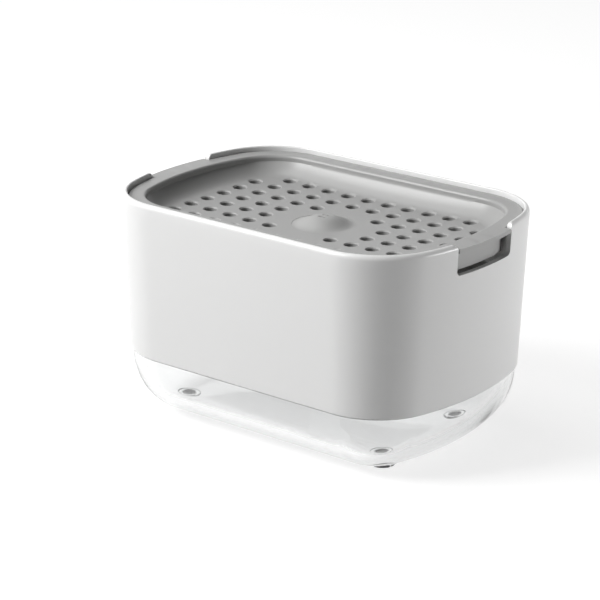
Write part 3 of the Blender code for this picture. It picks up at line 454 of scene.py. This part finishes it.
# Deck, gaskets and pump, inside the shell
# The deck closes the tank and carries the pump. These pieces are hidden in use and keep their plain shapes;
# the deck's dark grey is painted shade.
INNER_PIECES = {
    # The deck's dark grey is painted shade: it stands for the shade the deck lies in under the plate, not
    # for the colour of its plastic.
    "drip_deck": ((0.36, 0.36, 0.355), 0.42, 0.0),
    "tank_gasket": ((0.62, 0.64, 0.64), 0.48, 0.0),
    "pump_cylinder": ((0.74, 0.75, 0.74), 0.30, 0.0),
    "cylinder_gasket": ((0.62, 0.64, 0.64), 0.48, 0.0),
    "lock_ring": ((0.80, 0.80, 0.79), 0.32, 0.0),
    "stem_guide": ((0.74, 0.75, 0.74), 0.32, 0.0),
    "dip_tube": ((0.76, 0.77, 0.77), 0.28, 0.0),
    "inlet_ball": ((0.62, 0.62, 0.61), 0.16, 1.0),
    "plunger_stem": ((0.74, 0.75, 0.74), 0.30, 0.0),
    "stem_plug": ((0.74, 0.75, 0.74), 0.32, 0.0),
    "piston": ((0.62, 0.64, 0.64), 0.46, 0.0),
}
INNER_GRAIN = 0.05
INNER_GRAIN_SIZE = 0.0015
for inner_node, (inner_colour, inner_roughness, inner_metal) in INNER_PIECES.items():
    inner_finish = plain_finish(
        inner_node + "_finish",
        inner_colour,
        inner_roughness,
        INNER_GRAIN,
        INNER_GRAIN_SIZE,
        metallic=inner_metal,
    )
    inner_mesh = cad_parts[inner_node].data
    inner_mesh.materials.clear()
    inner_mesh.materials.append(inner_finish)

# Return spring
# Coil of round steel wire between the ledge in the barrel and the flange of the stem's plug. It stands on
# the ledge. It is drawn at one length, and does not get shorter as the stem goes down.
SPRING_FOOT = 0.02205
SPRING_TOP = 0.04150
SPRING_WIRE_RADIUS = 0.00045
SPRING_RADIUS = 0.0044
SPRING_TURNS = 6.5
SPRING_STEPS_PER_TURN = 36
SPRING_WIRE_SIDES = 12
STEEL_COLOUR = (0.58, 0.58, 0.57)
STEEL_ROUGHNESS = 0.22
STEEL_GRAIN = 0.05
STEEL_GRAIN_SIZE = 0.0015

spring_steps = int(SPRING_TURNS * SPRING_STEPS_PER_TURN)
spring_low = SPRING_FOOT + SPRING_WIRE_RADIUS
spring_rise = SPRING_TOP - SPRING_WIRE_RADIUS - spring_low
spring_lead = spring_rise / (2 * math.pi * SPRING_TURNS)
bm = bmesh.new()
spring_rings = []
for spring_step in range(spring_steps + 1):
    spring_angle = 2 * math.pi * spring_step / SPRING_STEPS_PER_TURN
    outward = Vector((math.cos(spring_angle), math.sin(spring_angle), 0))
    forward = Vector((-outward.y * SPRING_RADIUS, outward.x * SPRING_RADIUS, spring_lead)).normalized()
    across = forward.cross(outward)
    middle = outward * SPRING_RADIUS
    middle.z = spring_low + spring_rise * spring_step / spring_steps
    spring_ring = []
    for wire_side in range(SPRING_WIRE_SIDES):
        wire_angle = 2 * math.pi * wire_side / SPRING_WIRE_SIDES
        wire_reach = outward * math.cos(wire_angle) + across * math.sin(wire_angle)
        spring_ring.append(bm.verts.new(middle + wire_reach * SPRING_WIRE_RADIUS))
    spring_rings.append(spring_ring)
for spring_ring, next_ring in zip(spring_rings, spring_rings[1:]):
    for wire_side in range(SPRING_WIRE_SIDES):
        next_side = (wire_side + 1) % SPRING_WIRE_SIDES
        bm.faces.new(
            (spring_ring[wire_side], spring_ring[next_side], next_ring[next_side], next_ring[wire_side])
        )
bm.faces.new(spring_rings[0])
bm.faces.new(spring_rings[-1])
spring_mesh = finished_mesh(bm, "steel_spring")
steel = plain_finish(
    "spring_steel", STEEL_COLOUR, STEEL_ROUGHNESS, STEEL_GRAIN, STEEL_GRAIN_SIZE, metallic=1.0
)
steel_spring = show("steel_spring", spring_mesh, steel)
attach(steel_spring, "upper")
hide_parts("return_spring")
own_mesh(steel_spring)

# Outer shell
# White casing, injection moulded in semi-gloss plastic, open at the top and the bottom. Its wall leans
# in towards the seam, its rim is fully rounded outside, and each end has a notch for a tab of the plate.
SHELL_TOP = 0.086
SHELL_WALL = 0.0020
SHELL_TAPER = 0.0024
SHELL_WIDEST = 0.084
SHELL_FOOT_ROUND = 0.0004
RIM_ROUND_STEPS = 10
RIM_CROWN_INSET = 0.0014
WALL_STEPS = 14
LEDGE_TOP = 0.0516
LEDGE_UNDERSIDE = 0.0499
LEDGE_INSET = 0.00724
NOTCH_HALF_WIDTH = 0.0162
NOTCH_BOTTOM = 0.0744
NOTCH_CORNER = 0.0018
NOTCH_RIM_CORNER = 0.0022
NOTCH_CORNER_STEPS = 10
CUT_OVERRUN = 0.004
SOFT_EDGE_WIDTH = 0.0003
SOFT_EDGE_SEGMENTS = 2
SOFT_EDGE_ANGLE = math.radians(50)
SHELL_COLOUR = (0.83, 0.83, 0.825)
SHELL_ROUGHNESS = 0.30
SHELL_GRAIN = 0.03
SHELL_GRAIN_SIZE = 0.0012


def shell_inset(height):
    """How far the shell's outer face is drawn in at a height."""
    return SHELL_TAPER * (SHELL_WIDEST - height) / (SHELL_WIDEST - SEAM_HEIGHT)


def upright_slab(name, points, length):
    """A mesh with an outline of (y, height), as long as given along X."""
    bm = bmesh.new()
    ends = []
    for end_x in (-length / 2, length / 2):
        ends.append([bm.verts.new((end_x, y, height)) for y, height in points])
    bm.faces.new(ends[0])
    bm.faces.new(ends[1])
    for i in range(len(points)):
        j = (i + 1) % len(points)
        bm.faces.new((ends[0][i], ends[0][j], ends[1][j], ends[1][i]))
    return finished_mesh(bm, name)


def bend(centre, radius, start, end, steps):
    """Points of a bend of (y, height) about a centre, between two angles in degrees."""
    points = []
    for step in range(steps + 1):
        angle = math.radians(start + (end - start) * step / steps)
        points.append((centre[0] + radius * math.cos(angle), centre[1] + radius * math.sin(angle)))
    return points


shell_section = [
    (SHELL_TAPER + SHELL_FOOT_ROUND, SEAM_HEIGHT),
    (SHELL_TAPER, SEAM_HEIGHT + SHELL_FOOT_ROUND),
]
for wall_step in range(1, WALL_STEPS):
    wall_height = SEAM_HEIGHT + (SHELL_WIDEST - SEAM_HEIGHT) * wall_step / WALL_STEPS
    shell_section.append((shell_inset(wall_height), wall_height))
shell_section += round_bend(0, SHELL_WIDEST, RIM_CROWN_INSET, SHELL_WIDEST - SHELL_TOP, RIM_ROUND_STEPS)
rim_inner_round = SHELL_WALL - RIM_CROWN_INSET
shell_section += round_bend(
    SHELL_WALL, SHELL_TOP - rim_inner_round, -rim_inner_round, -rim_inner_round, RIM_ROUND_STEPS
)[::-1][1:]
shell_section += [
    (shell_inset(LEDGE_TOP) + SHELL_WALL, LEDGE_TOP),
    (LEDGE_INSET, LEDGE_TOP),
    (LEDGE_INSET, LEDGE_UNDERSIDE),
    (shell_inset(LEDGE_UNDERSIDE) + SHELL_WALL, LEDGE_UNDERSIDE),
    (SHELL_TAPER + SHELL_WALL, SEAM_HEIGHT),
]
notch_half = [(NOTCH_HALF_WIDTH + NOTCH_RIM_CORNER, SHELL_TOP + CUT_OVERRUN)]
notch_half += bend(
    (NOTCH_HALF_WIDTH + NOTCH_RIM_CORNER, SHELL_TOP - NOTCH_RIM_CORNER),
    NOTCH_RIM_CORNER,
    90,
    180,
    NOTCH_CORNER_STEPS,
)
notch_half += bend(
    (NOTCH_HALF_WIDTH - NOTCH_CORNER, NOTCH_BOTTOM + NOTCH_CORNER), NOTCH_CORNER, 0, -90, NOTCH_CORNER_STEPS
)
notch_outline = notch_half + [(-y, height) for y, height in reversed(notch_half)]
shell_mesh = cut_and_join(
    follow_plan("white_shell", shell_section, closed_section=True),
    [("DIFFERENCE", upright_slab("notches", notch_outline, 2 * HALF_LENGTH + CUT_OVERRUN))],
)
white_plastic = plain_finish("white_plastic", SHELL_COLOUR, SHELL_ROUGHNESS, SHELL_GRAIN, SHELL_GRAIN_SIZE)
white_shell = show("white_shell", shell_mesh, white_plastic)
edge_round = white_shell.modifiers.new("soft_edges", "BEVEL")
edge_round.width = SOFT_EDGE_WIDTH
edge_round.segments = SOFT_EDGE_SEGMENTS
edge_round.limit_method = "ANGLE"
edge_round.angle_limit = SOFT_EDGE_ANGLE
edge_round.harden_normals = True
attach(white_shell, "upper")
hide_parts("outer_shell")

# Press plate
# Grey satin plate that the sponge is pressed on: a flat rim, a dished floor with countersunk drain
# holes, and a tab at each end whose lip fills the notch of the shell and whose apron hangs inside it.
RIM_FACE = 0.0841
RIM_INSET = 0.0026
RIM_WIDTH = 0.0050
RIM_ROUND = 0.0012
BOWL_WIDTH = 0.0074
BOWL_HEIGHT = 0.0063
BOWL_POWER = 2.2
DISH_FLOOR = 0.0755
FLOOR_CROWN_RADIUS = 1.200
FLOOR_LOOPS = 9
PLATE_THICKNESS = 0.0020
PLATE_BEND_STEPS = 14
HOLE_PITCH = 0.0094
HOLE_COLUMNS = 16
HOLE_ROWS = 12
HOLE_RADIUS = 0.0024
HOLE_SINK_WIDTH = 0.0004
HOLE_SINK_DEPTH = 0.0004
HOLE_SIDES = 28
OUTLET_CLEAR_RADIUS = 0.018
LIP_THICKNESS = 0.0015
APRON_BOTTOM = 0.0752
APRON_INSET = 0.00392
APRON_THICKNESS = 0.0016
APRON_ROOT = 0.0016
PANEL_INSET = 0.00340
PANEL_BOTTOM = 0.0754
PANEL_HALF_WIDTH = 0.0134
PANEL_CORNER = 0.0030
TAB_HALF_WIDTH = 0.0156
DOME_SEAT_RADIUS = 0.01176
DOME_SEAT_DEPTH = 0.0008
SOCKET_MOUTH = 0.0688
SOCKET_RADIUS = 0.0055
SOCKET_BORE_RADIUS = 0.0038
OUTLET_BORE_RADIUS = 0.0018
SOCKET_WEB = 0.0735
GREY_COLOUR = (0.36, 0.36, 0.356)
GREY_ROUGHNESS = 0.36
GREY_GRAIN = 0.05
GREY_GRAIN_SIZE = 0.0006


def edge_distance(x, y):
    """Distance from a point in plan to the widest outline."""
    corner_y = HALF_WIDTH - CORNER_RADIUS
    corner_x = END_CENTRE_X + math.sqrt((END_RADIUS - CORNER_RADIUS) ** 2 - corner_y**2)
    x = abs(x)
    y = abs(y)
    if x > corner_x and y > corner_y:
        return CORNER_RADIUS - math.hypot(x - corner_x, y - corner_y)
    return min(HALF_WIDTH - y, END_RADIUS - math.hypot(x - END_CENTRE_X, y))


def bowl_side(inset, height, width, drop, steps):
    """Points of the dish's side, steep at its upper end and level where it meets the floor."""
    points = []
    for step in range(steps + 1):
        share = step / steps
        points.append((inset + width * share, height - drop * (1 - (1 - share) ** BOWL_POWER)))
    return points


def box_outline(left, right, bottom, top):
    """The corners of an upright oblong, as (y, height)."""
    return [(right, top), (right, bottom), (left, bottom), (left, top)]


def crown_floor(mesh, top, bottom):
    """Lifts the floor into a very shallow bowl, fully at its own height and not at all at the top."""
    for vertex in mesh.vertices:
        share = min(max((top - vertex.co.z) / (top - bottom), 0), 1)
        rise = (vertex.co.x**2 + vertex.co.y**2) / (2 * FLOOR_CROWN_RADIUS)
        vertex.co.z += rise * share


dish_wall = RIM_INSET + RIM_WIDTH + RIM_ROUND
floor_edge = dish_wall + BOWL_WIDTH
bowl_top = DISH_FLOOR + BOWL_HEIGHT
floor_insets = []
for floor_step in range(1, FLOOR_LOOPS + 1):
    floor_insets.append(floor_edge + (HALF_WIDTH - floor_edge) * floor_step / (FLOOR_LOOPS + 1))
plate_upper = [(RIM_INSET, RIM_FACE)]
for plate_step in range(PLATE_BEND_STEPS + 1):
    plate_angle = math.pi / 2 * plate_step / PLATE_BEND_STEPS
    plate_upper.append(
        (
            RIM_INSET + RIM_WIDTH + RIM_ROUND * math.sin(plate_angle),
            RIM_FACE - RIM_ROUND * (1 - math.cos(plate_angle)),
        )
    )
plate_upper += bowl_side(dish_wall, bowl_top, BOWL_WIDTH, BOWL_HEIGHT, PLATE_BEND_STEPS)
plate_upper += [(inset, DISH_FLOOR) for inset in floor_insets]
plate_lower = bowl_side(
    dish_wall - PLATE_THICKNESS,
    bowl_top,
    BOWL_WIDTH + PLATE_THICKNESS,
    BOWL_HEIGHT + PLATE_THICKNESS,
    PLATE_BEND_STEPS,
)
plate_lower += [(inset, DISH_FLOOR - PLATE_THICKNESS) for inset in floor_insets]
plate_lower = plate_lower[::-1]
plate_lower += [
    (dish_wall - PLATE_THICKNESS, RIM_FACE - PLATE_THICKNESS),
    (RIM_INSET, RIM_FACE - PLATE_THICKNESS),
]
plate_blank = follow_plan("grey_plate", plate_lower + plate_upper)
crown_floor(plate_blank, bowl_top, DISH_FLOOR)

apron_inner = APRON_INSET + APRON_THICKNESS
lip_underside = RIM_FACE - LIP_THICKNESS
tab_blank = follow_plan(
    "tabs",
    [
        (APRON_INSET, APRON_BOTTOM),
        (APRON_INSET, lip_underside),
        (0, lip_underside),
        (0, RIM_FACE),
        (apron_inner + APRON_ROOT, RIM_FACE),
        (apron_inner + APRON_ROOT, RIM_FACE - PLATE_THICKNESS),
        (apron_inner, RIM_FACE - PLATE_THICKNESS),
        (apron_inner, APRON_BOTTOM),
    ],
    closed_section=True,
)
panel_blank = follow_plan(
    "panels",
    [
        (PANEL_INSET, PANEL_BOTTOM),
        (PANEL_INSET, lip_underside + LIP_THICKNESS / 2),
        (APRON_INSET + APRON_THICKNESS / 2, lip_underside + LIP_THICKNESS / 2),
        (APRON_INSET + APRON_THICKNESS / 2, PANEL_BOTTOM),
    ],
    closed_section=True,
)
panel_half = [(PANEL_HALF_WIDTH, RIM_FACE + PANEL_CORNER)]
panel_half += bend(
    (PANEL_HALF_WIDTH - PANEL_CORNER, PANEL_BOTTOM + PANEL_CORNER), PANEL_CORNER, 0, -90, NOTCH_CORNER_STEPS
)
panel_outline = panel_half + [(-y, height) for y, height in reversed(panel_half)]
tab_outline = box_outline(
    -TAB_HALF_WIDTH, TAB_HALF_WIDTH, APRON_BOTTOM - CUT_OVERRUN, RIM_FACE + CUT_OVERRUN
)
tab_length = 2 * HALF_LENGTH + CUT_OVERRUN
panel_mesh = cut_and_join(
    panel_blank,
    [("INTERSECT", upright_slab("panel_edge", panel_outline, tab_length))],
)
tab_mesh = cut_and_join(
    tab_blank,
    [("UNION", panel_mesh), ("INTERSECT", upright_slab("tab_edge", tab_outline, tab_length))],
)


def cones_on_points(name, places, top_radius, bottom_radius, top, bottom):
    """Round cutters between two heights, one on each of the places, repeated with a node tree."""
    bm = bmesh.new()
    for x, y in places:
        bm.verts.new((x, y, bottom))
    place_mesh = bpy.data.meshes.new(name)
    bm.to_mesh(place_mesh)
    bm.free()
    holder = bpy.data.objects.new(name, place_mesh)
    bpy.context.scene.collection.objects.link(holder)

    tree = bpy.data.node_groups.new(name, "GeometryNodeTree")
    tree.interface.new_socket("Geometry", in_out="INPUT", socket_type="NodeSocketGeometry")
    sizes = {"Radius Top": top_radius, "Radius Bottom": bottom_radius, "Depth": top - bottom}
    for socket_name in sizes:
        tree.interface.new_socket(socket_name, in_out="INPUT", socket_type="NodeSocketFloat")
    tree.interface.new_socket("Geometry", in_out="OUTPUT", socket_type="NodeSocketGeometry")
    start = tree.nodes.new("NodeGroupInput")
    finish = tree.nodes.new("NodeGroupOutput")
    cone = tree.nodes.new("GeometryNodeMeshCone")
    cone.inputs["Vertices"].default_value = HOLE_SIDES
    for socket_name in sizes:
        tree.links.new(start.outputs[socket_name], cone.inputs[socket_name])
    repeat = tree.nodes.new("GeometryNodeInstanceOnPoints")
    tree.links.new(start.outputs["Geometry"], repeat.inputs["Points"])
    tree.links.new(cone.outputs["Mesh"], repeat.inputs["Instance"])
    real = tree.nodes.new("GeometryNodeRealizeInstances")
    tree.links.new(repeat.outputs["Instances"], real.inputs["Geometry"])
    tree.links.new(real.outputs["Geometry"], finish.inputs["Geometry"])

    modifier = holder.modifiers.new(name, "NODES")
    modifier.node_group = tree
    for item in tree.interface.items_tree:
        if item.in_out == "INPUT" and item.name in sizes:
            modifier[item.identifier] = sizes[item.name]
    graph = bpy.context.evaluated_depsgraph_get()
    mesh = bpy.data.meshes.new_from_object(holder.evaluated_get(graph))
    bpy.data.objects.remove(holder)
    return mesh


hole_places = []
for hole_column in range(HOLE_COLUMNS):
    for hole_row in range(HOLE_ROWS):
        hole_x = (hole_column - (HOLE_COLUMNS - 1) / 2) * HOLE_PITCH
        hole_y = (hole_row - (HOLE_ROWS - 1) / 2) * HOLE_PITCH
        on_floor = edge_distance(hole_x, hole_y) >= floor_edge
        if on_floor and math.hypot(hole_x, hole_y) > OUTLET_CLEAR_RADIUS:
            hole_places.append((hole_x, hole_y))
drain_pins = cones_on_points(
    "drain_pins",
    hole_places,
    HOLE_RADIUS,
    HOLE_RADIUS,
    DISH_FLOOR + 2 * PLATE_THICKNESS,
    DISH_FLOOR - 2 * PLATE_THICKNESS,
)
drain_sinks = cones_on_points(
    "drain_sinks",
    hole_places,
    HOLE_RADIUS + 2 * HOLE_SINK_WIDTH,
    HOLE_RADIUS - HOLE_SINK_WIDTH,
    DISH_FLOOR + HOLE_SINK_DEPTH,
    DISH_FLOOR - 2 * HOLE_SINK_DEPTH,
)
crown_floor(drain_sinks, bowl_top, DISH_FLOOR)

socket_profile = disc_profile(SOCKET_RADIUS, SOCKET_MOUTH, DISH_FLOOR - DOME_SEAT_DEPTH / 2)
bore_profile = disc_profile(SOCKET_BORE_RADIUS, SOCKET_MOUTH - CUT_OVERRUN, SOCKET_WEB)
outlet_profile = disc_profile(OUTLET_BORE_RADIUS, SOCKET_MOUTH, DISH_FLOOR + CUT_OVERRUN)
seat_profile = disc_profile(DOME_SEAT_RADIUS, DISH_FLOOR - DOME_SEAT_DEPTH, DISH_FLOOR + CUT_OVERRUN)
plate_mesh = cut_and_join(
    plate_blank,
    [
        ("UNION", tab_mesh),
        ("UNION", turned("socket", socket_profile)),
        ("DIFFERENCE", turned("bore", bore_profile)),
        ("DIFFERENCE", turned("outlet", outlet_profile)),
        ("DIFFERENCE", turned("seat", seat_profile)),
        ("DIFFERENCE", drain_pins),
        ("DIFFERENCE", drain_sinks),
    ],
)
grey_plastic = plain_finish("grey_plastic", GREY_COLOUR, GREY_ROUGHNESS, GREY_GRAIN, GREY_GRAIN_SIZE)
grey_plate = show("grey_plate", plate_mesh, grey_plastic)
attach(grey_plate, "plate")
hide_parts("press_plate")

# Outlet dome
# Soft silicone cap over the stem's outlet. It is a very low bell, level with the floor of the dish at its
# edge, and has two short slits at its crown where the soap comes out.
DOME_RADIUS = 0.0117
DOME_RISE = 0.0031
DOME_BELL_POWER = 1.4
DOME_FOOT = 0.0750
DOME_WALL = 0.0012
DOME_STEPS = 24
DOME_SIDES = 96
DOME_SLIT_LENGTH = 0.0030
DOME_SLIT_WIDTH = 0.0008
DOME_SLIT_SPACING = 0.0024
SILICONE_COLOUR = (0.41, 0.41, 0.405)
SILICONE_ROUGHNESS = 0.46
SILICONE_GRAIN = 0.05
SILICONE_GRAIN_SIZE = 0.0008


def bell_side(radius, foot, crown):
    """Profile of a low bell, from its crown out to its foot, level at both."""
    points = []
    for step in range(DOME_STEPS + 1):
        share = step / DOME_STEPS
        lift = (1 + math.cos(math.pi * share**DOME_BELL_POWER)) / 2
        points.append((radius * share, foot + (crown - foot) * lift))
    return points


dome_crown = DISH_FLOOR + DOME_RISE
dome_profile = bell_side(DOME_RADIUS, DISH_FLOOR, dome_crown) + [(DOME_RADIUS, DOME_FOOT)]
dome_profile += bell_side(DOME_RADIUS - DOME_WALL, DOME_FOOT, dome_crown - DOME_WALL)[::-1]
dome_cuts = []
for slit_side in (-1, 1):
    slit_middle = slit_side * DOME_SLIT_SPACING / 2
    slit_outline = box_outline(
        slit_middle - DOME_SLIT_WIDTH / 2,
        slit_middle + DOME_SLIT_WIDTH / 2,
        dome_crown - 2 * DOME_WALL,
        dome_crown + DOME_WALL,
    )
    dome_cuts.append(("DIFFERENCE", upright_slab("slit", slit_outline, DOME_SLIT_LENGTH)))
dome_mesh = cut_and_join(turned("soft_dome", dome_profile, sides=DOME_SIDES), dome_cuts)
grey_silicone = plain_finish(
    "grey_silicone", SILICONE_COLOUR, SILICONE_ROUGHNESS, SILICONE_GRAIN, SILICONE_GRAIN_SIZE
)
soft_dome = show("soft_dome", dome_mesh, grey_silicone)
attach(soft_dome, "plate")
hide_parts("outlet_dome")
